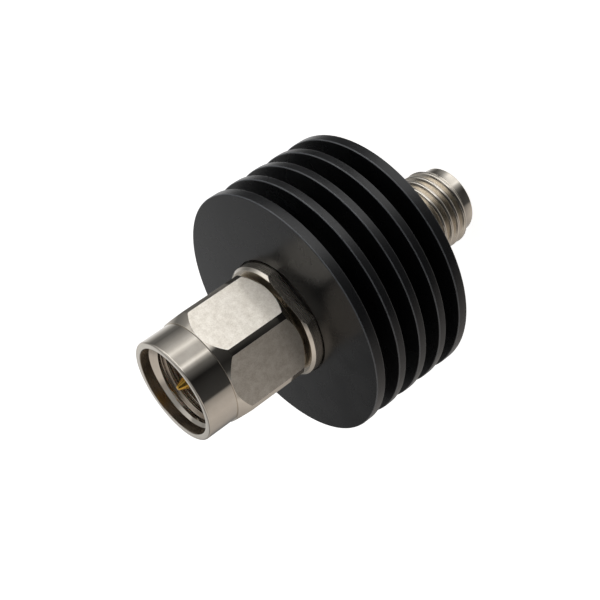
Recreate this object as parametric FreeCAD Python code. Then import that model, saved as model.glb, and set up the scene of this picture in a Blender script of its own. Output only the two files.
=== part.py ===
import FreeCAD, Part
import math
import os

# A coaxial attenuator with a finned heat sink, a plug at its top and a jack at its foot.
# All sizes are in millimetres. Z is the axis of the connectors, and the jack's rim is at Z = 0.

# Heat sink
fin_diameter = 19.1
fin_count = 5
end_fin_thickness = 0.82
middle_fin_thickness = 0.67
fin_gap = 1.31
end_face_edge = 0.09
hub_diameter = 11.6
hub_bore = 7.0
flange_recess_depth = 0.3
flange_recess_gap = 0.1

# Connector flanges, one seated in each end of the heat sink, a little wider than the nut
flange_margin = 0.43
flange_flat_depth = 0.53
flange_height = 0.93
flange_chamfer = 0.2
shank_length = 2.0

# Line of contacts and insulators, which the shells are built around
insulator_diameter = 4.1
contact_diameter = 1.27
pin_diameter = 0.92
pin_reach = 2.45
pin_taper = 0.7
pin_tip_diameter = 0.3
contact_bore = 0.94
contact_bore_depth = 2.6
contact_slot = 0.15
contact_slot_depth = 2.2
tail_diameter = 0.5
tail_overlap = 0.55

# Plug
nut_gap = 0.25
sleeve_wall = 0.245
sleeve_length = 1.85
gasket_seat_rise = 0.17
gasket_width = 0.3
gasket_height = 0.45
barrel_shoulder = 0.305
barrel_lip = 0.56
ring_groove_depth = 0.4
ring_groove_offset = 2.3

# Retaining ring, which carries the nut and lets it float along the barrel
ring_play = 0.075
ring_width = 0.925
ring_thickness = 0.5
ring_split = 1.3
ring_float = 0.25

# Coupling nut
nut_length = 8.62
nut_across_flats = 8.0
nut_corner_rise = 0.48
nut_rear_step = 0.1
nut_rear_bevel = 0.7
nut_nose_wall = 0.49
nut_nose_length = 2.4
nut_front_bevel = 0.8
nut_lip_chamfer = 0.1
nut_mouth_depth = 0.75
nut_lead_in = 0.46
nut_turn = 19.5

# Jack
jack_reach = 8.5
socket_depth = 1.93
pilot_wall = 0.375
pilot_chamfer = 0.1
thread_depth = 0.27
thread_pitch = 25.4 / 36
thread_crest = 0.22
thread_groove = 0.38
jack_thread_start = 1.1
jack_thread_lead = 0.25
jack_thread_relief = 1.1
jack_relief_depth = 0.4

# Chip and its carrier
chip_width = 3.6
chip_length = 3.9
chip_thickness = 0.4
film_thickness = 0.05
film_width = 1.0
film_bar_length = 0.9
pad_width = 1.0
pad_length = 0.9
tab_width = 0.6
tab_thickness = 0.06
ground_width = 0.5
channel_width = 2.4
channel_height = 1.5

# Fits, all radial or on one side
seat_fit = 0.02
running_fit = 0.06
socket_fit = 0.005
ring_clearance = 0.075
gasket_clearance = 0.065
mouth_clearance = 0.32

# Diameters of the connectors, each from the one inside it
sleeve_diameter = insulator_diameter + 2 * sleeve_wall
gasket_seat_diameter = sleeve_diameter + 2 * gasket_seat_rise
gasket_diameter = gasket_seat_diameter + 2 * gasket_width
barrel_diameter = sleeve_diameter + 2 * barrel_shoulder
ring_groove_diameter = barrel_diameter - 2 * ring_groove_depth
ring_inner_diameter = ring_groove_diameter + 2 * ring_play
ring_outer_diameter = ring_inner_diameter + 2 * ring_width
nut_ring_bore = ring_outer_diameter + 2 * ring_clearance
nut_thread_bore = gasket_diameter + 2 * gasket_clearance
jack_thread_diameter = nut_thread_bore + 2 * thread_depth
jack_relief_diameter = jack_thread_diameter - 2 * jack_relief_depth
nut_mouth_diameter = jack_thread_diameter + 2 * mouth_clearance
nut_nose_diameter = nut_mouth_diameter + 2 * nut_nose_wall
socket_bore = sleeve_diameter + 2 * socket_fit
pilot_diameter = socket_bore + 2 * pilot_wall
nut_corner_diameter = nut_across_flats + 2 * nut_corner_rise
nut_rear_diameter = nut_across_flats - 2 * nut_rear_step
flange_diameter = nut_across_flats + 2 * flange_margin
flange_across_flats = flange_diameter - 2 * flange_flat_depth

# Stations along the axis
jack_face = 0.0
sink_rear = jack_face + jack_reach
middle_fins = fin_count - 2
sink_length = 2 * end_fin_thickness + middle_fins * middle_fin_thickness + (fin_count - 1) * fin_gap
sink_front = sink_rear + sink_length
flange_front = sink_front + flange_height
jack_flange_end = sink_rear - flange_height
jack_plane = jack_face + socket_depth
nut_rear = flange_front + nut_gap
nut_front = nut_rear + nut_length
ring_groove_low = flange_front + ring_groove_offset
ring_low = ring_groove_low + seat_fit
ring_high = ring_low + ring_thickness
ring_groove_high = ring_high + ring_float + seat_fit
barrel_end = ring_groove_high + barrel_lip
gasket_top = barrel_end + gasket_height
plug_plane = gasket_top + sleeve_length
pin_tip = plug_plane + pin_reach
carrier_low = sink_rear + shank_length
carrier_high = sink_front - shank_length
chip_low = (carrier_low + carrier_high - chip_length) / 2
chip_high = chip_low + chip_length

# Levels across the chip, along X, with the contacts' tails on the axis
tab_face = -tail_diameter / 2
pad_face = tab_face - tab_thickness
chip_face = pad_face - film_thickness
chip_back = chip_face - chip_thickness

# Radii that several pieces share
hub_bore_radius = hub_bore / 2
shank_radius = hub_bore_radius - seat_fit
flange_radius = flange_diameter / 2
recess_radius = flange_radius + flange_recess_gap
insulator_radius = insulator_diameter / 2
shell_bore_radius = insulator_radius + seat_fit
contact_radius = contact_diameter / 2
contact_hole_radius = contact_radius + seat_fit
tail_radius = tail_diameter / 2
barrel_radius = barrel_diameter / 2


def turned(outline):
    """Turn a closed outline of (radius, height) points about Z."""
    points = [FreeCAD.Vector(radius, 0, height) for radius, height in outline]
    points.append(points[0])
    face = Part.Face(Part.makePolygon(points))
    return face.revolve(FreeCAD.Vector(0, 0, 0), FreeCAD.Vector(0, 0, 1), 360)


def ring_grooves(crest, low, high):
    """The outline of a thread's crests and grooves as rings one pitch apart, between two heights."""
    outline = [(crest, low)]
    height = low
    while height + thread_pitch + thread_crest / 2 < high:
        outline.append((crest, height + thread_crest))
        outline.append((crest - thread_groove, height + (thread_crest + thread_pitch) / 2))
        height += thread_pitch
        outline.append((crest, height))
    outline.append((crest, high))
    return outline


def block(x_range, y_range, z_range):
    """A box between two values on each axis."""
    low = FreeCAD.Vector(x_range[0], y_range[0], z_range[0])
    sizes = [span[1] - span[0] for span in (x_range, y_range, z_range)]
    return Part.makeBox(sizes[0], sizes[1], sizes[2], low)


def hexagon(across_flats, turn, low, high):
    """A hexagonal prism about Z. At turn 0 one flat faces -Y, and turn is in degrees."""
    corner = across_flats / 2 / math.cos(math.radians(30))
    points = []
    for step in range(7):
        angle = math.radians(turn + 60 * step)
        points.append(FreeCAD.Vector(corner * math.cos(angle), corner * math.sin(angle), low))
    face = Part.Face(Part.makePolygon(points))
    return face.extrude(FreeCAD.Vector(0, 0, high - low))


def with_flats(shape, across_flats, low, high):
    """Mill two wrench flats that face -Y and +Y."""
    reach = fin_diameter
    for side in (-1, 1):
        near = side * across_flats / 2
        far = side * reach
        flat = block((-reach, reach), (min(near, far), max(near, far)), (low, high))
        shape = shape.cut(flat)
    return shape


def make_heat_sink():
    rim = fin_diameter / 2
    root = hub_diameter / 2
    outline = [(hub_bore_radius, sink_rear + flange_recess_depth)]
    outline.append((recess_radius, sink_rear + flange_recess_depth))
    outline.append((recess_radius, sink_rear))
    height = sink_rear
    for fin in range(fin_count):
        is_end = fin in (0, fin_count - 1)
        thickness = end_fin_thickness if is_end else middle_fin_thickness
        if fin == 0:
            outline.append((rim - end_face_edge, height))
            outline.append((rim, height + end_face_edge))
        else:
            outline.append((root, height))
            outline.append((rim, height))
        height += thickness
        if fin == fin_count - 1:
            outline.append((rim, height - end_face_edge))
            outline.append((rim - end_face_edge, height))
        else:
            outline.append((rim, height))
            outline.append((root, height))
        height += fin_gap
    outline.append((recess_radius, sink_front))
    outline.append((recess_radius, sink_front - flange_recess_depth))
    outline.append((hub_bore_radius, sink_front - flange_recess_depth))
    return turned(outline)


def make_jack_body():
    thread = jack_thread_diameter / 2
    pilot = pilot_diameter / 2
    relief = jack_relief_diameter / 2
    thread_end = jack_flange_end - jack_thread_relief
    outline = [
        (socket_bore / 2, jack_face),
        (pilot - pilot_chamfer, jack_face),
        (pilot, jack_face + pilot_chamfer),
        (pilot, jack_thread_start - jack_thread_lead),
        *ring_grooves(thread, jack_thread_start, thread_end - jack_thread_lead),
        (relief, thread_end),
        (relief, jack_flange_end),
        (flange_radius - flange_chamfer, jack_flange_end),
        (flange_radius, jack_flange_end + flange_chamfer),
        (flange_radius, sink_rear + flange_recess_depth),
        (shank_radius, sink_rear + flange_recess_depth),
        (shank_radius, carrier_low),
        (shell_bore_radius, carrier_low),
        (shell_bore_radius, jack_plane),
        (socket_bore / 2, jack_plane),
    ]
    body = turned(outline)
    return with_flats(body, flange_across_flats, jack_flange_end, sink_rear + flange_recess_depth)


def make_plug_body():
    groove = ring_groove_diameter / 2
    seat = gasket_seat_diameter / 2
    sleeve = sleeve_diameter / 2
    outline = [
        (shell_bore_radius, carrier_high),
        (shank_radius, carrier_high),
        (shank_radius, sink_front - flange_recess_depth),
        (flange_radius, sink_front - flange_recess_depth),
        (flange_radius, flange_front - flange_chamfer),
        (flange_radius - flange_chamfer, flange_front),
        (barrel_radius, flange_front),
        (barrel_radius, ring_groove_low),
        (groove, ring_groove_low),
        (groove, ring_groove_high),
        (barrel_radius, ring_groove_high),
        (barrel_radius, barrel_end),
        (seat, barrel_end),
        (seat, gasket_top),
        (sleeve, gasket_top),
        (sleeve, plug_plane),
        (shell_bore_radius, plug_plane),
    ]
    body = turned(outline)
    return with_flats(body, flange_across_flats, sink_front - flange_recess_depth, flange_front)


def make_nut_gasket():
    inner = gasket_seat_diameter / 2 + seat_fit
    outer = gasket_diameter / 2
    return turned([(inner, barrel_end), (outer, barrel_end), (outer, gasket_top), (inner, gasket_top)])


def make_retaining_ring():
    inner = ring_inner_diameter / 2
    outer = ring_outer_diameter / 2
    ring = turned([(inner, ring_low), (outer, ring_low), (outer, ring_high), (inner, ring_high)])
    half_split = ring_split / 2
    return ring.cut(block((-half_split, half_split), (0, outer + ring_split), (ring_low, ring_high)))


def make_coupling_nut():
    corner = nut_corner_diameter / 2
    nose = nut_nose_diameter / 2
    mouth = nut_mouth_diameter / 2
    thread = nut_thread_bore / 2
    ring_bore = nut_ring_bore / 2
    rear_bore = barrel_radius + running_fit
    outline = [
        (rear_bore, nut_rear),
        (nut_rear_diameter / 2, nut_rear),
        (corner, nut_rear + nut_rear_bevel),
        (corner, nut_front - nut_nose_length - nut_front_bevel),
        (nose, nut_front - nut_nose_length),
        (nose, nut_front - nut_lip_chamfer),
        (nose - nut_lip_chamfer, nut_front),
        (mouth, nut_front),
        (mouth, nut_front - nut_mouth_depth),
        (thread, nut_front - nut_mouth_depth - nut_lead_in),
        (thread, ring_high + seat_fit),
        (ring_bore, ring_high + seat_fit),
        (ring_bore, ring_low - seat_fit),
        (rear_bore, ring_low - seat_fit),
    ]
    return turned(outline).common(hexagon(nut_across_flats, nut_turn, nut_rear, nut_front))


def make_insulator(low, high):
    return turned([
        (contact_hole_radius, low),
        (insulator_radius, low),
        (insulator_radius, high),
        (contact_hole_radius, high),
    ])


def make_plug_pin():
    tip = pin_tip_diameter / 2
    pin = pin_diameter / 2
    return turned([
        (0, chip_high - tail_overlap),
        (tail_radius, chip_high - tail_overlap),
        (tail_radius, carrier_high),
        (contact_radius, carrier_high),
        (contact_radius, plug_plane),
        (pin, plug_plane),
        (pin, pin_tip - pin_taper),
        (tip, pin_tip),
        (0, pin_tip),
    ])


def make_jack_contact():
    bore = contact_bore / 2
    bore_end = jack_plane + contact_bore_depth
    contact = turned([
        (bore, jack_plane),
        (contact_radius, jack_plane),
        (contact_radius, carrier_low),
        (tail_radius, carrier_low),
        (tail_radius, chip_low + tail_overlap),
        (0, chip_low + tail_overlap),
        (0, bore_end),
        (bore, bore_end),
    ])
    half_slot = contact_slot / 2
    slot_end = jack_plane + contact_slot_depth
    reach = contact_diameter
    across = block((-half_slot, half_slot), (-reach, reach), (jack_plane, slot_end))
    along = block((-reach, reach), (-half_slot, half_slot), (jack_plane, slot_end))
    return contact.cut(across).cut(along)


def carrier_cylinder():
    radius = shank_radius
    length = carrier_high - carrier_low
    return Part.makeCylinder(radius, length, FreeCAD.Vector(0, 0, carrier_low))


def make_carrier_base():
    """The half of the carrier that the chip lies in, back to metal."""
    base = carrier_cylinder()
    base = base.cut(block((chip_face, hub_bore), (-hub_bore, hub_bore), (carrier_low, carrier_high)))
    half_width = chip_width / 2 + seat_fit
    pocket = block((chip_back, chip_face), (-half_width, half_width), (chip_low, chip_high))
    return base.cut(pocket)


def make_carrier_cover():
    """The half that clamps the chip's ground strips and bridges its film."""
    cover = carrier_cylinder()
    cover = cover.cut(block((-hub_bore, chip_face), (-hub_bore, hub_bore), (carrier_low, carrier_high)))
    half_channel = channel_width / 2
    channel = block((chip_face, channel_height), (-half_channel, half_channel), (carrier_low, carrier_high))
    half_width = chip_width / 2 + seat_fit
    relief = block((chip_face, pad_face), (-half_width, half_width), (chip_low, chip_high))
    return cover.cut(channel).cut(relief)


def make_chip_substrate():
    half_width = chip_width / 2
    return block((chip_back, chip_face), (-half_width, half_width), (chip_low, chip_high))


def make_resistive_film():
    """Two series arms that meet in a cross bar between the ground strips."""
    half_film = film_width / 2
    arms = block((chip_face, pad_face), (-half_film, half_film), (chip_low + pad_length, chip_high - pad_length))
    middle = (chip_low + chip_high) / 2
    half_bar = film_bar_length / 2
    reach = chip_width / 2 - ground_width
    bar = block((chip_face, pad_face), (-reach, reach), (middle - half_bar, middle + half_bar))
    return arms.fuse(bar).removeSplitter()


def make_pad(low, high):
    half_pad = pad_width / 2
    return block((chip_face, pad_face), (-half_pad, half_pad), (low, high))


def make_ground_strip(side):
    inner = side * (chip_width / 2 - ground_width)
    outer = side * chip_width / 2
    span = (min(inner, outer), max(inner, outer))
    return block((chip_face, pad_face), span, (chip_low, chip_high))


def make_tab(low, high):
    half_tab = tab_width / 2
    return block((pad_face, tab_face), (-half_tab, half_tab), (low, high))


parts = {
    "heat_sink": make_heat_sink(),
    "jack_body": make_jack_body(),
    "plug_body": make_plug_body(),
    "nut_gasket": make_nut_gasket(),
    "retaining_ring": make_retaining_ring(),
    "coupling_nut": make_coupling_nut(),
    "jack_insulator": make_insulator(jack_plane, carrier_low),
    "plug_insulator": make_insulator(carrier_high, plug_plane),
    "plug_pin": make_plug_pin(),
    "jack_contact": make_jack_contact(),
    "carrier_base": make_carrier_base(),
    "carrier_cover": make_carrier_cover(),
    "chip_substrate": make_chip_substrate(),
    "resistive_film": make_resistive_film(),
    "pad_input": make_pad(chip_high - pad_length, chip_high),
    "pad_output": make_pad(chip_low, chip_low + pad_length),
    "ground_strip_left": make_ground_strip(-1),
    "ground_strip_right": make_ground_strip(1),
    "tab_input": make_tab(chip_high - tail_overlap, chip_high),
    "tab_output": make_tab(chip_low, chip_low + tail_overlap),
}

os.makedirs("parts", exist_ok=True)
for name, shape in parts.items():
    shape.exportStep(os.path.join("parts", name + ".step"))
    print(name, "solids", len(shape.Solids), "valid", shape.isValid(), "volume", round(shape.Volume, 3))
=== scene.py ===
# %% [markdown]
# # A coaxial attenuator with a finned heat sink
# This small part takes power out of a radio signal. A plug with a hexagonal coupling nut is
# at one end, a threaded jack at the other, and a black finned heat sink sits between them.
# The solids come from the frame, in metres, with the connectors' axis on Z. Here the pieces
# that show get finer meshes, and every piece gets the finish of its real metal or plastic.

# %% Load the frame
import math

import bmesh
import bpy
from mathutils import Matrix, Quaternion, Vector


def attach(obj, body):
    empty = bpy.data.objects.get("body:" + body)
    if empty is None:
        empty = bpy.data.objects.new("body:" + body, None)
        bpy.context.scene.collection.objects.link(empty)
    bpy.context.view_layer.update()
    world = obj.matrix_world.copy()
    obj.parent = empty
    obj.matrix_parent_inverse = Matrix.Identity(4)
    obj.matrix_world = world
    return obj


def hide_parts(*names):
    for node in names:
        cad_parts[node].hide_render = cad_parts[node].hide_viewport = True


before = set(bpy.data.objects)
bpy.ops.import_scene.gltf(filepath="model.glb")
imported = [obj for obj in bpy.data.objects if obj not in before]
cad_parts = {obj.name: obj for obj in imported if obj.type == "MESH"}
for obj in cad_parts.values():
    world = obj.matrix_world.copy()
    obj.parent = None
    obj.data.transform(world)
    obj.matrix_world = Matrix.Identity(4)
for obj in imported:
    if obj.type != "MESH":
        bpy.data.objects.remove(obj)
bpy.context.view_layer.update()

MM = 0.001
FULL_TURN = 2 * math.pi
BUMP_DEPTH = 0.01 * MM
print("nodes:", sorted(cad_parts))

# %% [markdown]
# ## Camera
# A small part is photographed from close by with a long lens, which keeps its circles true.
# The camera looks at the middle of the object from the plug's side, and is rolled about its
# own axis, so that the upright connectors lie across the picture. It could also be aimed
# with a constraint, but a place, a target and a roll are easier to read.

# %% Camera
camera_place = Vector((-11.36, -69.16, 51.40)) * MM
camera_target = Vector((-5.632, 3.64, 18.72)) * MM
camera_roll = -127.07
camera_lens = 66.06
camera_sensor = 36.0
camera_shift = (-0.0034, 0.1747)

camera_data = bpy.data.cameras.new("camera")
camera_data.lens = camera_lens
camera_data.sensor_width = camera_sensor
camera_data.shift_x, camera_data.shift_y = camera_shift
camera_data.clip_start = 0.001
camera_data.clip_end = 20.0
camera = bpy.data.objects.new("camera", camera_data)
bpy.context.scene.collection.objects.link(camera)
aim = (camera_target - camera_place).to_track_quat("-Z", "Y")
roll = Quaternion((0, 0, 1), math.radians(camera_roll))
camera.location = camera_place
camera.rotation_mode = "QUATERNION"
camera.rotation_quaternion = aim @ roll
bpy.context.scene.camera = camera
print("camera to target:", round((camera_target - camera_place).length / MM, 2), "mm")


# %% [markdown]
# ## Helpers for colours and materials
# Colours are written as the hex values that a colour picker shows. Blender works in linear
# light, so one function turns them. Another adds a node, sets its values and links its
# inputs, so a material reads as a list of what its surface does.

# %% Colour and node helpers
def linear(hex_colour):
    """The linear RGBA of a colour such as #d8d2c6."""
    channels = [int(hex_colour[at:at + 2], 16) / 255 for at in (1, 3, 5)]
    flat = [c / 12.92 if c <= 0.04045 else ((c + 0.055) / 1.055) ** 2.4 for c in channels]
    return (*flat, 1.0)


def add_node(tree, kind, settings=None, **inputs):
    """Add a node. Settings are its properties, and each input is a value or another output.

    An input is named as in the editor, with _ for a space, or by its number, as in _0.
    """
    node = tree.nodes.new(kind)
    for name, value in (settings or {}).items():
        setattr(node, name, value)
    for name, value in inputs.items():
        by_number = name[1:].isdigit()
        socket = node.inputs[int(name[1:]) if by_number else name.replace("_", " ")]
        if isinstance(value, bpy.types.NodeSocket):
            tree.links.new(value, socket)
        else:
            socket.default_value = value
    return node


def new_material(name):
    """An empty material and its tree, with the place of each point in millimetres."""
    material = bpy.data.materials.new(name)
    material.use_nodes = True
    tree = material.node_tree
    tree.nodes.clear()
    coords = add_node(tree, "ShaderNodeTexCoord")
    in_mm = add_node(
        tree, "ShaderNodeMapping", None,
        Vector=coords.outputs["Object"], Scale=(1 / MM, 1 / MM, 1 / MM),
    )
    return material, tree, in_mm.outputs["Vector"]


def finish_material(tree, **values):
    """Close a tree with a Principled shader and the output."""
    shader = add_node(tree, "ShaderNodeBsdfPrincipled", None, **values)
    add_node(tree, "ShaderNodeOutputMaterial", None, Surface=shader.outputs["BSDF"])


# %% [markdown]
# ## Black anodised aluminium
# The heat sink is turned from aluminium and dyed black while its oxide grows. The oxide is a
# clear, hard skin over a nearly black ground, so the surface is a dark plastic-like gloss
# and not a metal: almost no colour of its own, and a satin reflection that rises at a low
# angle. The lathe leaves rings about 0.05 mm apart, which stretch the reflection a little.

# %% Black anodised aluminium
anodise, tree, place = new_material("black_anodised_aluminium")
axes = add_node(tree, "ShaderNodeSeparateXYZ", None, Vector=place)
flat_place = add_node(tree, "ShaderNodeCombineXYZ", None, X=axes.outputs["X"], Y=axes.outputs["Y"])
off_axis = add_node(
    tree, "ShaderNodeVectorMath", {"operation": "LENGTH"}, _0=flat_place.outputs["Vector"],
)
ring_place = add_node(
    tree, "ShaderNodeCombineXYZ", None, X=off_axis.outputs["Value"], Z=axes.outputs["Z"]
)
rings = add_node(
    tree, "ShaderNodeTexNoise", None,
    Vector=ring_place.outputs["Vector"], Scale=9.0, Detail=3.0, Roughness=0.6,
)
cloud = add_node(tree, "ShaderNodeTexNoise", None, Vector=place, Scale=0.35, Detail=3.0)
grain = add_node(tree, "ShaderNodeTexNoise", None, Vector=place, Scale=14.0, Detail=2.0)
gloss = add_node(
    tree, "ShaderNodeMapRange", None,
    Value=cloud.outputs["Fac"], From_Min=0.3, From_Max=0.7, To_Min=0.24, To_Max=0.30,
)
shade = add_node(
    tree, "ShaderNodeMix", {"data_type": "RGBA"},
    _0=cloud.outputs["Fac"], _6=linear("#0d0e10"), _7=linear("#141517"),
)
ring_bump = add_node(
    tree, "ShaderNodeBump", None,
    Strength=0.10, Distance=BUMP_DEPTH, Height=rings.outputs["Fac"],
)
grain_bump = add_node(
    tree, "ShaderNodeBump", None,
    Strength=0.12, Distance=BUMP_DEPTH, Height=grain.outputs["Fac"], Normal=ring_bump.outputs["Normal"],
)
finish_material(
    tree,
    Base_Color=shade.outputs[2], Metallic=0.0, IOR=1.55,
    Roughness=gloss.outputs["Result"], Normal=grain_bump.outputs["Normal"],
)

# %% [markdown]
# ## Painted highlight on the fin edges
# The rounded edge of each fin's front face is painted a lighter grey than the rest, a painted
# highlight that shows as a thin light line round the fin. A real highlight would show from
# one side only, and this painted one is there from every side.

# %% Painted highlight on the fin edges
# A lighter grey on the fins' front edges: a painted highlight, mottled by noise.
painted_edge_highlight, tree, place = new_material("anodised_edge_painted_highlight")
highlight_mottle = add_node(tree, "ShaderNodeTexNoise", None, Vector=place, Scale=1.5, Detail=3.0)
shade = add_node(
    tree, "ShaderNodeMix", {"data_type": "RGBA"},
    _0=highlight_mottle.outputs["Fac"], _6=linear("#404347"), _7=linear("#6a6d71"),
)
finish_material(tree, Base_Color=shade.outputs[2], Roughness=0.3, IOR=1.55)

# %% [markdown]
# ## Turned stainless steel
# The round parts of the nut and the two shells come off a lathe and are passivated, which
# leaves a bright, slightly warm grey. A fine tool leaves rings a few hundredths of a
# millimetre apart, so a panel's reflection is drawn out along the axis. The rings here are
# 0.06 mm apart, about as fine as the picture can show.

# %% Turned stainless steel
steel, tree, place = new_material("turned_stainless_steel")
along_axis = add_node(tree, "ShaderNodeMapping", None, Vector=place, Scale=(0.15, 0.15, 16.0))
lines = add_node(
    tree, "ShaderNodeTexNoise", None,
    Vector=along_axis.outputs["Vector"], Scale=1.0, Detail=1.0, Roughness=0.5,
)
stains = add_node(tree, "ShaderNodeTexNoise", None, Vector=place, Scale=0.8, Detail=4.0, Roughness=0.6)
tint = add_node(
    tree, "ShaderNodeMix", {"data_type": "RGBA"},
    _0=stains.outputs["Fac"], _6=linear("#c9c1b5"), _7=linear("#ddd7cd"),
)
gloss = add_node(
    tree, "ShaderNodeMapRange", None,
    Value=stains.outputs["Fac"], From_Min=0.3, From_Max=0.7, To_Min=0.06, To_Max=0.10,
)
line_bump = add_node(
    tree, "ShaderNodeBump", None,
    Strength=0.035, Distance=BUMP_DEPTH, Height=lines.outputs["Fac"],
)
finish_material(
    tree,
    Base_Color=tint.outputs[2], Metallic=1.0,
    Roughness=gloss.outputs["Result"], Normal=line_bump.outputs["Normal"],
)

# %% [markdown]
# ## Cut stainless steel
# The flanges, the thread's flanks and the nut's rear are left as the tool cut them. The same
# steel is rougher there, so its reflections are wide and soft, and a recess stays lighter
# than it would in a mirror. The tool marks are about 0.1 mm apart.

# %% Cut stainless steel
cut_steel, tree, place = new_material("cut_stainless_steel")
along_axis = add_node(tree, "ShaderNodeMapping", None, Vector=place, Scale=(0.4, 0.4, 10.0))
lines = add_node(
    tree, "ShaderNodeTexNoise", None,
    Vector=along_axis.outputs["Vector"], Scale=1.0, Detail=1.0,
)
tint = add_node(
    tree, "ShaderNodeMix", {"data_type": "RGBA"},
    _0=lines.outputs["Fac"], _6=linear("#cdc4b6"), _7=linear("#e0d9cd"),
)
gloss = add_node(
    tree, "ShaderNodeMapRange", None,
    Value=lines.outputs["Fac"], From_Min=0.3, From_Max=0.7, To_Min=0.24, To_Max=0.30,
)
line_bump = add_node(
    tree, "ShaderNodeBump", None,
    Strength=0.015, Distance=BUMP_DEPTH, Height=lines.outputs["Fac"],
)
finish_material(
    tree,
    Base_Color=tint.outputs[2], Metallic=1.0,
    Roughness=gloss.outputs["Result"], Normal=line_bump.outputs["Normal"],
)

# %% [markdown]
# ## Blasted stainless steel
# The six flats of the nut are milled from the same steel and blasted with fine glass beads,
# so they are matte with a grain of a few hundredths of a millimetre. A rough metal still
# reflects, only over a wide angle, so it keeps a metallic base colour and takes a high
# roughness. The grain is 0.08 mm here, so that it shows in the picture.

# %% Blasted stainless steel
blasted, tree, place = new_material("blasted_stainless_steel")
grit = add_node(tree, "ShaderNodeTexNoise", None, Vector=place, Scale=12.0, Detail=3.0, Roughness=0.7)
patches = add_node(tree, "ShaderNodeTexNoise", None, Vector=place, Scale=2.2, Detail=5.0, Roughness=0.7)
both = add_node(
    tree, "ShaderNodeMath", {"operation": "MULTIPLY_ADD"},
    _0=grit.outputs["Fac"], _1=0.8, _2=patches.outputs["Fac"],
)
spread = add_node(
    tree, "ShaderNodeMapRange", None,
    Value=both.outputs["Value"], From_Min=0.6, From_Max=1.2,
)
tint = add_node(
    tree, "ShaderNodeMix", {"data_type": "RGBA"},
    _0=spread.outputs["Result"], _6=linear("#cfc7ba"), _7=linear("#f6f1e8"),
)
gloss = add_node(
    tree, "ShaderNodeMapRange", None,
    Value=spread.outputs["Result"], To_Min=0.46, To_Max=0.38,
)
grit_bump = add_node(
    tree, "ShaderNodeBump", None,
    Strength=0.55, Distance=BUMP_DEPTH, Height=grit.outputs["Fac"],
)
finish_material(
    tree,
    Base_Color=tint.outputs[2], Metallic=1.0,
    Roughness=gloss.outputs["Result"], Normal=grit_bump.outputs["Normal"],
)

# %% [markdown]
# ## Bored stainless steel, painted darker as shade
# Inside the nut the boring tool leaves a coarser, duller surface, with rings some 0.1 mm
# apart that never get polished. It is the same steel, its colour painted darker as the
# shade inside the nut.

# %% Bored stainless steel with painted shade
shaded_bored_steel, tree, place = new_material("bored_steel_painted_shade")
along_axis = add_node(tree, "ShaderNodeMapping", None, Vector=place, Scale=(0.2, 0.2, 10.0))
lines = add_node(
    tree, "ShaderNodeTexNoise", None,
    Vector=along_axis.outputs["Vector"], Scale=1.0, Detail=3.0,
)
# A darker tint than the turned steel: painted shade for the inside of the nut.
tint = add_node(
    tree, "ShaderNodeMix", {"data_type": "RGBA"},
    _0=lines.outputs["Fac"], _6=linear("#9c9286"), _7=linear("#b7ac9f"),
)
line_bump = add_node(
    tree, "ShaderNodeBump", None,
    Strength=0.2, Distance=BUMP_DEPTH, Height=lines.outputs["Fac"],
)
finish_material(
    tree,
    Base_Color=tint.outputs[2], Metallic=1.0, Roughness=0.26, Normal=line_bump.outputs["Normal"],
)

# %% [markdown]
# ## Gold plate, brass and bronze
# The centre contacts are beryllium copper under a thin gold plate, polished so that they
# slide. The chip's carrier is plain machined brass, and the nut's ring is spring bronze.
# The three differ in colour and polish and share one make-up: a metal with a slight change
# of tint and gloss over a millimetre or so.

# %% Gold plate, brass and bronze
def worked_metal(name, dark, light, least_rough, most_rough, patch_per_mm):
    """A metal whose tint and roughness drift from one value to another."""
    material, tree, place = new_material(name)
    drift = add_node(
        tree, "ShaderNodeTexNoise", None,
        Vector=place, Scale=patch_per_mm, Detail=4.0, Roughness=0.6,
    )
    colour = add_node(
        tree, "ShaderNodeMix", {"data_type": "RGBA"},
        _0=drift.outputs["Fac"], _6=linear(dark), _7=linear(light),
    )
    gloss = add_node(
        tree, "ShaderNodeMapRange", None,
        Value=drift.outputs["Fac"], From_Min=0.3, From_Max=0.7, To_Min=least_rough, To_Max=most_rough,
    )
    finish_material(
        tree,
        Base_Color=colour.outputs[2], Metallic=1.0, Roughness=gloss.outputs["Result"],
    )
    return material


gold = worked_metal("gold_plate", "#e0a83e", "#f2c765", 0.14, 0.22, 2.0)
brass = worked_metal("machined_brass", "#b8914c", "#d0ab64", 0.28, 0.4, 1.0)
bronze = worked_metal("spring_bronze", "#9c7440", "#b98f58", 0.25, 0.35, 1.0)

# %% [markdown]
# ## Fluoropolymer, silicone and alumina
# The contacts are held by white fluoropolymer, a waxy plastic that lets a little light in.
# A red-brown silicone ring seals the nut, and the chip is white alumina under a printed
# film. All are dull and not metal, with a fine speckle.

# %% Fluoropolymer, silicone, alumina and film
def dull_solid(name, dark, light, roughness, speckle_per_mm, inside=0.0):
    """A plastic, rubber or ceramic with a fine speckle and, if inside is over 0, depth."""
    material, tree, place = new_material(name)
    speckle = add_node(
        tree, "ShaderNodeTexNoise", None,
        Vector=place, Scale=speckle_per_mm, Detail=4.0, Roughness=0.6,
    )
    colour = add_node(
        tree, "ShaderNodeMix", {"data_type": "RGBA"},
        _0=speckle.outputs["Fac"], _6=linear(dark), _7=linear(light),
    )
    bump = add_node(
        tree, "ShaderNodeBump", None,
        Strength=0.15, Distance=BUMP_DEPTH, Height=speckle.outputs["Fac"],
    )
    finish_material(
        tree,
        Base_Color=colour.outputs[2], Roughness=roughness, Normal=bump.outputs["Normal"],
        Subsurface_Weight=inside, Subsurface_Scale=0.0004,
    )
    return material


fluoropolymer = dull_solid("white_fluoropolymer", "#e2e0d8", "#f3f1ea", 0.45, 4.0, 0.2)
silicone = dull_solid("red_brown_silicone", "#7c3320", "#95432b", 0.5, 5.0)
alumina = dull_solid("alumina", "#dedbd0", "#edeae2", 0.6, 8.0)
film = dull_solid("resistive_film", "#1b1a1a", "#262424", 0.45, 8.0)
print("materials:", len(bpy.data.materials))


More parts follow.
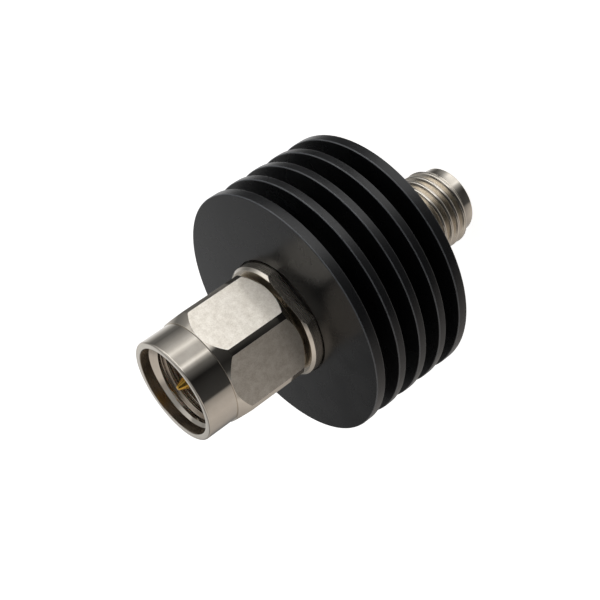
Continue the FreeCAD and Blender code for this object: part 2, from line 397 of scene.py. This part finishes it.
# %% [markdown]
# ## Helpers for shapes
# Most of this part is turned, so most pieces start the same way: a closed outline of radius
# and height, its corners rounded, is spun about the axis. The rounding is small, but it is
# what catches the light on a real edge. A wide face beside a small rounding would be shaded
# as if it were bent, so each corner's shading normal is weighted by the areas that meet.

# %% Shape helpers
SAME_POINT = 0.0005 * MM


def outline_edges(bm, outline):
    """Draw a closed outline of (radius, height, rounding) in mm, with its corners rounded."""
    corners = [bm.verts.new((radius * MM, 0, height * MM)) for radius, height, _ in outline]
    bm.faces.new(corners)
    sizes = [rounding for _, _, rounding in outline]
    for size in sorted(set(sizes) - {0}):
        chosen = [corner for corner, own in zip(corners, sizes) if own == size]
        bmesh.ops.bevel(
            bm, geom=chosen, offset=size * MM, offset_type="OFFSET", segments=3,
            profile=0.5, affect="VERTICES", material=-1, clamp_overlap=True,
        )
    bmesh.ops.delete(bm, geom=bm.faces[:], context="FACES_ONLY")


def turned(outline, steps):
    """A bmesh of a closed outline spun a full turn about Z."""
    bm = bmesh.new()
    outline_edges(bm, outline)
    bmesh.ops.spin(
        bm, geom=bm.verts[:] + bm.edges[:], cent=(0, 0, 0), axis=(0, 0, 1),
        dvec=(0, 0, 0), angle=FULL_TURN, steps=steps, use_merge=True, use_duplicate=False,
    )
    bmesh.ops.remove_doubles(bm, verts=bm.verts[:], dist=SAME_POINT)
    bmesh.ops.recalc_face_normals(bm, faces=bm.faces[:])
    return bm


def corner_normals(bm, crease):
    """The shading normal of every face corner: its soft neighbours, weighted by their area.

    A wide face keeps its own direction this way, and only the rounded edge beside it turns.
    """
    bm.faces.index_update()
    areas = [face.calc_area() for face in bm.faces]
    softest = math.cos(math.radians(crease))
    normals = []
    for face in bm.faces:
        for vert in face.verts:
            total = Vector((0, 0, 0))
            for other in vert.link_faces:
                if other.normal.dot(face.normal) > softest:
                    total += other.normal * areas[other.index]
            normals.append(total.normalized() if total.length else face.normal)
    return normals


def new_piece(name, bm, body, materials, replaced, crease=35):
    """Make an object of a bmesh, shade it, and hang it on its body of the frame."""
    bm.normal_update()
    normals = corner_normals(bm, crease)
    mesh = bpy.data.meshes.new(name)
    bm.to_mesh(mesh)
    bm.free()
    for material in materials:
        mesh.materials.append(material)
    mesh.shade_smooth()
    mesh.set_sharp_from_angle(angle=math.radians(crease))
    mesh.normals_split_custom_set([tuple(normal) for normal in normals])
    piece = bpy.data.objects.new(name, mesh)
    bpy.context.scene.collection.objects.link(piece)
    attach(piece, body)
    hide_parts(replaced)
    print(name, "has", len(mesh.polygons), "faces")
    return piece


# %% [markdown]
# ## Heat sink
# The sink is one bar of aluminium with four deep grooves, which leave five fins. The end
# fins are a little thicker than the three between them, and each face has a shallow
# recess for the connector's flange. One outline runs round all of it.

# %% Heat sink
fin_radius = 9.55
hub_radius = 5.8
sink_bore = 3.5
recess_radius = 4.53
recess_depth = 0.3
sink_rear, sink_front = 8.5, 17.39
fin_spans = [(8.5, 9.32), (10.63, 11.3), (12.61, 13.28), (14.59, 15.26), (16.57, 17.39)]
fin_edge = 0.09
hub_corner = 0.15
mouth_edge = 0.04
# Which rounded fin edges get the painted highlight: those whose normal rises between these levels.
painted_highlight_levels = (0.2, 0.95)

sink_outline = [
    (sink_bore, sink_rear + recess_depth, 0),
    (recess_radius, sink_rear + recess_depth, 0),
    (recess_radius, sink_rear, mouth_edge),
]
for low, high in fin_spans:
    if low > sink_rear:
        sink_outline.append((hub_radius, low, hub_corner))
    sink_outline.append((fin_radius, low, fin_edge))
    sink_outline.append((fin_radius, high, fin_edge))
    if high < sink_front:
        sink_outline.append((hub_radius, high, hub_corner))
sink_outline += [
    (recess_radius, sink_front, mouth_edge),
    (recess_radius, sink_front - recess_depth, 0),
    (sink_bore, sink_front - recess_depth, 0),
]
sink = turned(sink_outline, 192)
sink.normal_update()
# The front, up-facing rounded edges of the fins take the painted highlight as material 1.
for face in sink.faces:
    radius = face.calc_center_median().xy.length / MM
    if radius > fin_radius - fin_edge and painted_highlight_levels[0] < face.normal.z < painted_highlight_levels[1]:
        face.material_index = 1
new_piece(
    "finned_heat_sink", sink, "housing", [anodise, painted_edge_highlight], "heat_sink",
)
print("heat sink:", len(fin_spans), "fins,", 2 * fin_radius, "mm across")


# %% [markdown]
# ## Threads
# Both connectors have the same 1/4-36 thread: 36 turns to the inch, with flanks at 60
# degrees. A texture could fake the turns, but the thread shows against the white ground,
# so it is a real helix. The outline of one pitch is spun upwards, cut level at both ends,
# and its ridge is made to fade along a cone where the real thread runs out.

# %% Thread helpers
PITCH = 25.4 / 36


HALF_FLANK_ANGLE = math.radians(30)
SAME_THREAD_POINT = 0.002 * MM
RIM_GAP = 0.004 * MM


def helix(crest_radius, root_radius, crest_width, low, high, crest_edge, root_edge, steps=96):
    """A bmesh of a right-hand thread's surface from one height to another, open at its ends."""
    flank = abs(crest_radius - root_radius) * math.tan(HALF_FLANK_ANGLE)
    half_root = (PITCH - crest_width - 2 * flank) / 2
    bm = bmesh.new()
    turns = math.ceil((high - low) / PITCH) + 2
    start = low - 1.5 * PITCH
    profile = [
        (root_radius, 0),
        (root_radius, half_root),
        (crest_radius, half_root + flank),
        (crest_radius, half_root + flank + crest_width),
        (root_radius, half_root + 2 * flank + crest_width),
        (root_radius, PITCH),
    ]
    corners = [bm.verts.new((radius * MM, 0, (start + z) * MM)) for radius, z in profile]
    for first, second in zip(corners, corners[1:]):
        bm.edges.new((first, second))
    for chosen, size in ((corners[2:4], crest_edge), ((corners[1], corners[4]), root_edge)):
        bmesh.ops.bevel(
            bm, geom=list(chosen), offset=size * MM, offset_type="OFFSET", segments=3,
            profile=0.5, affect="VERTICES", material=-1, clamp_overlap=True,
        )
    bmesh.ops.spin(
        bm, geom=bm.verts[:] + bm.edges[:], cent=(0, 0, 0), axis=(0, 0, 1),
        dvec=(0, 0, PITCH * MM / steps), angle=FULL_TURN * turns, steps=steps * turns,
        use_merge=False, use_duplicate=False,
    )
    bmesh.ops.remove_doubles(bm, verts=bm.verts[:], dist=SAME_THREAD_POINT)
    for height, outward in ((low, -1), (high, 1)):
        bmesh.ops.bisect_plane(
            bm, geom=bm.verts[:] + bm.edges[:] + bm.faces[:], dist=0,
            plane_co=(0, 0, height * MM), plane_no=(0, 0, outward), clear_outer=True,
        )
    return bm


def fade_ridge(bm, root_radius, full, gone):
    """Shrink a thread's ridge to nothing between two heights, from full to gone.

    Each end is the crest's radius and a height in mm, so the crests lie on a cone.
    """
    for vert in bm.verts:
        along = (vert.co.z / MM - full[1]) / (gone[1] - full[1])
        if along <= 0:
            continue
        crest = full[0] + (gone[0] - full[0]) * min(along, 1)
        radius = vert.co.xy.length / MM
        share = (radius - root_radius) / (full[0] - root_radius)
        limit = root_radius + (crest - root_radius) * share
        vert.co.xy *= limit / radius


def rim_edges(bm, height):
    """The open edges of a bmesh that lie at one height, in mm."""
    near = 0.003 * MM
    return [
        edge for edge in bm.edges
        if edge.is_boundary and all(abs(vert.co.z - height * MM) < near for vert in edge.verts)
    ]


def open_turned(outline, steps):
    """A bmesh of an open outline of (radius, height, rounding) spun a full turn about Z."""
    bm = bmesh.new()
    outline_edges(bm, outline)
    ends = {(round(outline[at][0], 4), round(outline[at][1], 4)) for at in (0, -1)}
    closing = [
        edge for edge in bm.edges
        if {(round(v.co.x / MM, 4), round(v.co.z / MM, 4)) for v in edge.verts} == ends
    ]
    bmesh.ops.delete(bm, geom=closing, context="EDGES_FACES")
    bmesh.ops.spin(
        bm, geom=bm.verts[:] + bm.edges[:], cent=(0, 0, 0), axis=(0, 0, 1),
        dvec=(0, 0, 0), angle=FULL_TURN, steps=steps, use_merge=True, use_duplicate=False,
    )
    bmesh.ops.remove_doubles(bm, verts=bm.verts[:], dist=SAME_POINT)
    return bm


def join_into(bm, other):
    """Copy one bmesh into another."""
    carrier = bpy.data.meshes.new("carrier")
    other.to_mesh(carrier)
    other.free()
    bm.from_mesh(carrier)
    bpy.data.meshes.remove(carrier)


# %% [markdown]
# ## Jack
# The jack's shell is one turned piece: a smooth pilot at the rim that guides the nut, the
# thread, a relief groove, a flange with two wrench flats, and a shank inside the sink.
# Everything but the thread is spun from one outline that is left open between the pilot
# and the relief, and the helix is bridged into that gap. The thread's crests are polished
# by use, and its flanks and the flange stay as cut.

# %% Cut and fill helper
def mill_flat(bm, distance, normal, material_index=0):
    """Cut everything beyond a plane away, fill the cut, and return its faces."""
    cut = bmesh.ops.bisect_plane(
        bm, geom=bm.verts[:] + bm.edges[:] + bm.faces[:], dist=0.0001 * MM,
        plane_co=Vector(normal) * distance * MM, plane_no=normal, clear_outer=True,
    )
    bm.edges.index_update()
    edges = [item for item in cut["geom_cut"] if isinstance(item, bmesh.types.BMEdge)]
    edges.sort(key=lambda edge: edge.index)
    filled = bmesh.ops.holes_fill(bm, edges=edges, sides=0)["faces"]
    for face in filled:
        face.material_index = material_index
    return filled


def ease_edges(bm, faces, width, segments=2):
    """Round the border of some faces."""
    bm.edges.index_update()
    border = sorted({edge for face in faces for edge in face.edges}, key=lambda edge: edge.index)
    bmesh.ops.bevel(
        bm, geom=border, offset=width * MM, offset_type="OFFSET", segments=segments,
        profile=0.5, affect="EDGES", material=-1, loop_slide=True, clamp_overlap=True,
    )


CHAMFER_LEVELS = (0.3, 0.8)


def leave_as_cut(bm, low, high, inner, outer, index):
    """Give the faces between two heights and radii the cut finish, but not the chamfers."""
    bm.normal_update()
    count = 0
    for face in bm.faces:
        middle = face.calc_center_median() / MM
        inside = low < middle.z < high and inner < middle.xy.length < outer
        chamfer = CHAMFER_LEVELS[0] < abs(face.normal.z) < CHAMFER_LEVELS[1]
        if inside and not chamfer:
            face.material_index = index
            count += 1
    print("faces left as cut:", count)


# %% Jack shell
flange_radius = 4.43
flange_half_flat = 3.9
flange_chamfer = 0.2
shank_radius = 3.48
shell_bore = 2.07
socket_radius = 2.3
jack_plane = 1.93
pilot_radius = 2.675
thread_radius = 3.1
thread_root = 2.72
relief_radius = 2.7
thread_low, thread_high = 0.85, 6.47
jack_flange = 7.57
carrier_low, carrier_high = 10.5, 15.39
crest_width = 0.2
crest_edge, root_edge = 0.07, 0.03
full_low, full_high = 1.1, 6.22
crest_band = 0.02

jack_outline = [
    (relief_radius, thread_high, 0),
    (relief_radius, jack_flange, 0.08),
    (flange_radius - flange_chamfer, jack_flange, 0.03),
    (flange_radius, jack_flange + flange_chamfer, 0.03),
    (flange_radius, sink_rear + recess_depth, 0),
    (shank_radius, sink_rear + recess_depth, 0),
    (shank_radius, carrier_low, 0),
    (shell_bore, carrier_low, 0),
    (shell_bore, jack_plane, 0),
    (socket_radius, jack_plane, 0.04),
    (socket_radius, 0, 0.06),
    (pilot_radius, 0, 0.1),
    (pilot_radius, thread_low, 0),
]
jack = open_turned(jack_outline, 144)
turns = helix(
    thread_radius, thread_root, crest_width, thread_low, thread_high, crest_edge, root_edge,
)
fade_ridge(turns, thread_root, (thread_radius, full_low), (thread_root, thread_low))
fade_ridge(turns, thread_root, (thread_radius, full_high), (relief_radius, thread_high))
join_into(jack, turns)
for height in (thread_low, thread_high):
    jack.verts.index_update()
    rim_verts = {vert for edge in rim_edges(jack, height) for vert in edge.verts}
    bmesh.ops.remove_doubles(
        jack, verts=sorted(rim_verts, key=lambda vert: vert.index), dist=RIM_GAP,
    )
    rims = rim_edges(jack, height)
    if rims:
        bmesh.ops.bridge_loops(jack, edges=rims)
bmesh.ops.recalc_face_normals(jack, faces=jack.faces[:])
jack_flats = []
for side in (-1, 1):
    jack_flats += mill_flat(jack, flange_half_flat, (0, side, 0))
ease_edges(jack, jack_flats, 0.05)
leave_as_cut(jack, thread_low, thread_high, thread_root - 0.1, thread_radius - crest_band, 1)
leave_as_cut(jack, jack_flange - 0.01, sink_rear + 0.2, relief_radius + 0.1, flange_radius + 0.1, 1)
new_piece("threaded_jack_shell", jack, "housing", [steel, cut_steel], "jack_body")

# %% [markdown]
# ## Plug shell
# Under the nut, the plug's shell has the same flange, then a barrel with a groove for the
# retaining ring, and a thin sleeve that enters the jack. Only the flange shows from outside,
# and the sleeve shows through the nut's mouth.

# %% Plug shell
flange_front = 18.32
barrel_radius = 2.6
groove_radius = 2.2
groove_low, groove_high = 20.62, 21.41
barrel_end = 21.97
gasket_seat = 2.465
gasket_top = 22.42
sleeve_radius = 2.295
plug_plane = 24.27

plug_outline = [
    (shell_bore, carrier_high, 0),
    (shank_radius, carrier_high, 0),
    (shank_radius, sink_front - recess_depth, 0),
    (flange_radius, sink_front - recess_depth, 0),
    (flange_radius, flange_front - flange_chamfer, 0.03),
    (flange_radius - flange_chamfer, flange_front, 0.03),
    (barrel_radius, flange_front, 0.08),
    (barrel_radius, groove_low, 0.03),
    (groove_radius, groove_low, 0),
    (groove_radius, groove_high, 0),
    (barrel_radius, groove_high, 0.03),
    (barrel_radius, barrel_end, 0.05),
    (gasket_seat, barrel_end, 0),
    (gasket_seat, gasket_top, 0.03),
    (sleeve_radius, gasket_top, 0),
    (sleeve_radius, plug_plane, 0.08),
    (shell_bore, plug_plane, 0.03),
]
plug = turned(plug_outline, 144)
plug_flats = []
for side in (-1, 1):
    plug_flats += mill_flat(plug, flange_half_flat, (0, side, 0))
ease_edges(plug, plug_flats, 0.07, 3)
leave_as_cut(plug, sink_front - 0.2, flange_front + 0.01, barrel_radius + 0.1, flange_radius + 0.1, 1)
new_piece("plug_shell", plug, "housing", [steel, cut_steel], "plug_body")

# %% [markdown]
# ## Coupling nut
# The nut is turned from round bar, so its front and rear are cones, and then six flats are
# milled along its middle. Where a flat runs into a cone it ends in an arc, and its corners
# are left round. Turning first and milling second gives those arcs without drawing them.
# Inside are the mouth's counterbore, a lead-in cone and the thread. The nut has four
# finishes: polished outside, blasted on the flats, the boring tool's finish inside with its
# colour painted darker as shade, and as cut at the rear.

# %% Coupling nut
nut_rear, nut_front = 18.57, 27.19
nut_half_flat = 4.0
corner_radius = 4.48
nut_rear_radius = 3.9
nut_rear_bevel = 0.7
nose_radius = 3.91
nose_low = 24.79
cone_low = 23.99
mouth_radius = 3.42
mouth_floor = 26.44
nut_crest = 2.83
nut_root = 3.15
nut_thread_low, nut_thread_high = 21.16, 26.24
lead_in_low = 25.98
ring_bore = 3.275
ring_seat = 20.62
nut_bore = 2.66
nut_turn = 19.5
nose_step = 0.07
mouth_edge = 0.04

lead_in_slope = (mouth_radius - nut_crest) / (mouth_floor - lead_in_low)
lead_in_top = nut_crest + (nut_thread_high - lead_in_low) * lead_in_slope
nut_outline = [
    (lead_in_top, nut_thread_high, 0),
    (mouth_radius, mouth_floor, 0.03),
    (mouth_radius, nut_front, mouth_edge),
    (nose_radius, nut_front, 0.1),
    (nose_radius, nose_low, 0),
    (nose_radius + nose_step, nose_low, 0.02),
    (corner_radius, cone_low, 0.08),
    (corner_radius, nut_rear + nut_rear_bevel, 0.08),
    (nut_rear_radius, nut_rear, 0.05),
    (nut_bore, nut_rear, 0.08),
    (nut_bore, ring_seat, 0),
    (ring_bore, ring_seat, 0),
    (ring_bore, nut_thread_low, 0),
]
nut = open_turned(nut_outline, 192)
turns = helix(nut_crest, nut_root, 0.16, nut_thread_low, nut_thread_high, 0.04, 0.06)
fade_ridge(turns, nut_root, (nut_crest, lead_in_low), (lead_in_top, nut_thread_high))
join_into(nut, turns)
for height in (nut_thread_low, nut_thread_high):
    rims = rim_edges(nut, height)
    bmesh.ops.bridge_loops(nut, edges=rims)
bmesh.ops.recalc_face_normals(nut, faces=nut.faces[:])
nut_flats = []
for side in range(6):
    angle = math.radians(nut_turn + 30 + 60 * side)
    nut_flats += mill_flat(nut, nut_half_flat, (math.cos(angle), math.sin(angle), 0), 1)
ease_edges(nut, nut_flats, 0.04)
nut.normal_update()
for face in nut.faces:
    middle = face.calc_center_median() / MM
    radius = middle.xy.length
    on_lead_in = lead_in_low < middle.z < mouth_floor + 0.001 and radius > nut_crest
    in_shaded_bore = radius < mouth_radius + 0.01 and nut_rear + 0.1 < middle.z < nut_front - mouth_edge
    at_rear = middle.z < nut_rear + nut_rear_bevel and radius > nut_bore
    # The faces inside the nut, but not the lead-in cone, take the steel painted darker as shade.
    if in_shaded_bore and not on_lead_in:
        face.material_index = 2
    if at_rear and face.normal.z < -0.3:
        face.material_index = 3
new_piece(
    "coupling_nut_milled", nut, "nut", [steel, blasted, shaded_bored_steel, cut_steel],
    "coupling_nut",
)

# %% [markdown]
# ## Contacts, insulators, gasket and ring
# These small parts show only inside the mouth and the jack. The solids already have their
# shapes, but their facets would show on polished gold, so the pin and the gasket are spun
# again with rounded edges. The rest keep their solids and get their own finishes.

# %% Pin, gasket and insulators
tail_radius = 0.25
contact_radius = 0.635
pin_radius = 0.46
pin_taper_low, pin_tip = 26.02, 26.72
pin_outline = [
    (0, 13.845, 0),
    (tail_radius, 13.845, 0),
    (tail_radius, carrier_high, 0),
    (contact_radius, carrier_high, 0),
    (contact_radius, plug_plane, 0.04),
    (pin_radius, plug_plane, 0),
    (pin_radius, pin_taper_low, 0.05),
    (0.15, pin_tip, 0.04),
    (0, pin_tip, 0),
]
new_piece("gold_plug_pin", turned(pin_outline, 64), "housing", [gold], "plug_pin")

gasket_inner, gasket_outer = 2.485, 2.765
gasket_outline = [
    (gasket_inner, barrel_end, 0.05),
    (gasket_outer, barrel_end, 0.1),
    (gasket_outer, gasket_top, 0.1),
    (gasket_inner, gasket_top, 0.05),
]
new_piece(
    "silicone_gasket", turned(gasket_outline, 96), "housing", [silicone],
    "nut_gasket",
)

insulator_radius = 2.05
contact_hole = 0.655
for name, node, low, high in (
    ("plug_bead", "plug_insulator", carrier_high, plug_plane),
    ("jack_bead", "jack_insulator", jack_plane, carrier_low),
):
    bead_outline = [
        (contact_hole, low, 0.03),
        (insulator_radius, low, 0.05),
        (insulator_radius, high, 0.05),
        (contact_hole, high, 0.03),
    ]
    new_piece(name, turned(bead_outline, 96), "housing", [fluoropolymer], node)

# %% [markdown]
# ## Finishes for the solids that stay
# The slotted jack contact, the split ring, the chip and its carrier keep the frame's
# meshes. Most are out of sight inside the sink, but anyone who takes the part apart finds
# them in their real materials.

# %% Finishes for the solids that stay
node_finishes = {
    "jack_contact": gold,
    "retaining_ring": bronze,
    "carrier_base": brass,
    "carrier_cover": brass,
    "chip_substrate": alumina,
    "resistive_film": film,
    "pad_input": gold,
    "pad_output": gold,
    "ground_strip_left": gold,
    "ground_strip_right": gold,
    "tab_input": gold,
    "tab_output": gold,
}
for name, material in node_finishes.items():
    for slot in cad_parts[name].material_slots:
        slot.material = material
print("finishes for", len(node_finishes), "nodes")

# %% [markdown]
# ## Floor and studio
# The part stands on its jack on a white floor, which the camera sees as white with a faint
# shadow. Polished metal is only as good as what it reflects, so the world is a simple
# studio drawn as a map: for a few heights above or below the horizon, how bright it is at
# each bearing. Wide bright panels light the flats, and the dark openings between them
# give the steel its dark bands. The camera itself sees plain white, through Is Camera Ray.
# Lamps could light the flats too, but a round nose shows every gap between two lamps.

# %% Floor
floor_half_side = 1.5
floor_mesh = bpy.data.meshes.new("floor")
bm = bmesh.new()
bmesh.ops.create_grid(bm, x_segments=1, y_segments=1, size=floor_half_side)
bm.to_mesh(floor_mesh)
bm.free()
floor = bpy.data.objects.new("floor", floor_mesh)
bpy.context.scene.collection.objects.link(floor)
floor.visible_glossy = False   # polished steel sees the map below the horizon instead
floor.visible_shadow = False   # and light from there reaches the object

floor_glow = 0.85
floor_paint = bpy.data.materials.new("white_floor")
floor_paint.use_nodes = True
tree = floor_paint.node_tree
tree.nodes.clear()
rays = add_node(tree, "ShaderNodeLightPath")
paint = add_node(tree, "ShaderNodeBsdfDiffuse", None, Color=linear("#e6e6e6"))
glow = add_node(tree, "ShaderNodeEmission", None, Color=(1, 1, 1, 1), Strength=floor_glow)
lit = add_node(tree, "ShaderNodeAddShader", None, _0=paint.outputs["BSDF"], _1=glow.outputs["Emission"])
seen = add_node(
    tree, "ShaderNodeMixShader", None,
    _0=rays.outputs["Is Camera Ray"], _1=paint.outputs["BSDF"], _2=lit.outputs["Shader"],
)
add_node(tree, "ShaderNodeOutputMaterial", None, Surface=seen.outputs["Shader"])
floor_mesh.materials.append(floor_paint)
print("floor:", 2 * floor_half_side, "m on a side")

# %% Studio map
# Each row is a height in degrees above the horizon, and stops of a bearing round the object
# with how bright the studio is there. The rows are named for what reflects them. The warm
# side is a reflector of off-white cloth, from 0 for none of its tint to 1 for all.
jack_sees = [
    (0, 0.3), (14, 0.15), (27, 0.25), (38, 0.5), (62, 0.9), (90, 0.45), (105, 0.38), (128, 0.5),
    (165, 0.65), (188, 0.55), (203, 0.38), (212, 0.08), (256, 0.04), (268, 0.14), (281, 0.6),
    (288, 1.4), (300, 1.2), (325, 1.5), (334, 1.0), (345, 0.5),
]
fins_see = [
    (0, 0.02), (14, 0.03), (24, 0.08), (33, 0.2), (43, 0.5), (55, 1.0), (75, 0.7), (95, 0.45),
    (112, 0.40), (136, 0.36), (161, 0.36), (180, 0.24), (192, 0.16), (203, 0.05), (212, 0.02),
    (238, 0.05), (256, 0.12), (266, 0.2), (277, 0.5), (289, 0.9), (302, 0.8), (313, 0.65),
    (321, 0.2), (328, 0.02), (345, 0.01),
]
flats_see = [
    (0, 0.35), (14, 0.12), (27, 0.18), (38, 0.43), (50, 0.7), (78, 0.5), (92, 0.24), (105, 0.28),
    (128, 0.42), (165, 0.44), (188, 0.33), (202, 0.27), (210, 0.18), (222, 0.05), (256, 0.025),
    (266, 0.06), (277, 0.4), (285, 1.9), (300, 2.6), (330, 2.4), (345, 0.75),
]
nose_sees = [
    (0, 0.26), (14, 0.13), (27, 0.18), (38, 0.45), (50, 0.75), (62, 1.0), (78, 0.5), (92, 0.18),
    (105, 0.22), (128, 0.46), (165, 0.62), (188, 0.53), (200, 0.4), (204, 0.3), (208, 0.05), (240, 0.03),
    (256, 0.012), (262, 0.05), (275, 0.16), (283, 0.5), (288, 1.25), (296, 0.62), (313, 0.62),
    (324, 1.15), (333, 0.72), (345, 0.46),
]
flats_panel = [
    (0, 0.5), (14, 0.13), (27, 0.18), (38, 0.45), (62, 0.8), (78, 0.5), (92, 0.24), (105, 0.28),
    (128, 0.46), (165, 0.55), (188, 0.40), (203, 0.25), (208, 0.05), (256, 0.025), (266, 0.05),
    (277, 0.5), (285, 2.15), (335, 2.15), (348, 0.9),
]
mouth_sees = [
    (0, 0.4), (14, 0.24), (22, 0.2), (32, 0.22), (41, 0.34), (50, 0.7), (70, 0.8), (79, 0.72),
    (84, 0.6), (88, 0.34), (100, 0.36), (128, 0.44), (150, 0.6), (165, 0.65), (188, 0.52), (203, 0.40),
    (208, 0.05), (240, 0.03), (256, 0.012), (275, 0.04), (300, 0.06), (335, 0.06), (350, 0.25),
]
face_sees = [
    (0, 0.7), (12, 0.5), (22, 0.3), (41, 0.3), (60, 0.36), (72, 0.34), (78, 0.24), (84, 0.06),
    (92, 0.05), (105, 0.3), (128, 0.5), (161, 0.75), (172, 0.45), (188, 0.5), (203, 0.38),
    (208, 0.06), (240, 0.05), (256, 0.05), (285, 0.07), (296, 0.1), (301, 0.6), (306, 0.1),
    (335, 0.1), (348, 0.8),
]
bevel_sees = [
    (1, 1.2), (12, 0.66), (22, 0.34), (41, 0.36), (60, 0.3), (72, 0.25), (90, 0.12), (105, 0.3),
    (128, 0.6), (161, 0.75), (174, 0.66), (183, 0.5), (195, 0.40), (208, 0.34), (220, 0.18),
    (230, 0.045), (249, 0.02), (264, 0.04), (283, 0.06), (289, 0.5), (295, 1.05), (307, 1.35),
    (343, 1.2), (354, 1.25),
]
overhead = [
    (0, 0.55), (15, 0.7), (60, 0.7), (100, 0.45), (150, 0.65), (174, 0.7), (190, 0.6), (206, 0.2),
    (226, 0.075), (297, 0.08), (317, 0.1), (336, 0.25),
]
zenith = [(0, 0.35), (180, 0.35)]
ground = [(0, 0.7), (180, 0.7)]
warm_side = [(95, 0.0), (115, 1.0), (200, 1.0), (214, 0.0)]
studio_rows = [
    (-75, ground), (-48, jack_sees), (-38, jack_sees), (-36, fins_see), (-28, fins_see),
    (-26.8, flats_see), (-25, flats_see),
    (-23.5, nose_sees), (-17, nose_sees), (-13, flats_panel), (5, flats_panel),
    (12, mouth_sees), (21, mouth_sees), (23.5, face_sees), (28, face_sees), (32, bevel_sees),
    (48, bevel_sees), (52, overhead), (68, overhead), (76, zenith),
]


def ring_panels(tree, bearing, stops):
    """The colour of one row of the studio by bearing. The ramp starts at 180 degrees."""
    panels = add_node(tree, "ShaderNodeValToRGB", None, Fac=bearing)
    ramp = panels.color_ramp
    placed = sorted(((degrees / 360 + 0.5) % 1.0, level) for degrees, level in stops)
    (first, first_level), (last, last_level) = placed[0], placed[-1]
    share = (1 - last) / (first + 1 - last)
    seam = last_level + (first_level - last_level) * share
    ramp.elements[0].position, ramp.elements[1].position = 0.0, 1.0
    for element in (ramp.elements[0], ramp.elements[1]):
        element.color = (seam, seam, seam, 1)
    for position, level in placed:
        element = ramp.elements.new(position)
        element.color = (level, level, level, 1)
    return panels.outputs["Color"]


world = bpy.data.worlds.new("studio")
world.use_nodes = True
bpy.context.scene.world = world
tree = world.node_tree
tree.nodes.clear()
direction = add_node(tree, "ShaderNodeTexCoord").outputs["Generated"]
round_axis = add_node(tree, "ShaderNodeTexGradient", {"gradient_type": "RADIAL"}, Vector=direction)
bearing = round_axis.outputs["Fac"]
height = add_node(tree, "ShaderNodeSeparateXYZ", None, Vector=direction).outputs["Z"]
colour = ring_panels(tree, bearing, ground)
for (low, below), (high, stops) in zip(studio_rows, studio_rows[1:]):
    if stops is below:
        continue
    above = add_node(
        tree, "ShaderNodeMapRange", None, Value=height,
        From_Min=math.sin(math.radians(low)), From_Max=math.sin(math.radians(high)),
    )
    colour = add_node(
        tree, "ShaderNodeMix", {"data_type": "RGBA"},
        _0=above.outputs["Result"], _6=colour, _7=ring_panels(tree, bearing, stops),
    ).outputs[2]
warm = ring_panels(tree, bearing, warm_side)
tinted = add_node(
    tree, "ShaderNodeMix", {"data_type": "RGBA", "blend_type": "MULTIPLY"},
    _0=warm, _6=colour, _7=linear("#fff8f2"),
)
rays = add_node(tree, "ShaderNodeLightPath")
seen_colour = add_node(
    tree, "ShaderNodeMix", {"data_type": "RGBA"},
    _0=rays.outputs["Is Camera Ray"], _6=tinted.outputs[2], _7=(1, 1, 1, 1),
)
background = add_node(tree, "ShaderNodeBackground", None, Color=seen_colour.outputs[2], Strength=1.0)
add_node(tree, "ShaderNodeOutputWorld", None, Surface=background.outputs["Background"])
print("studio rows:", len(studio_rows))

# %% Finish
bpy.context.scene.view_settings.view_transform = "Standard"
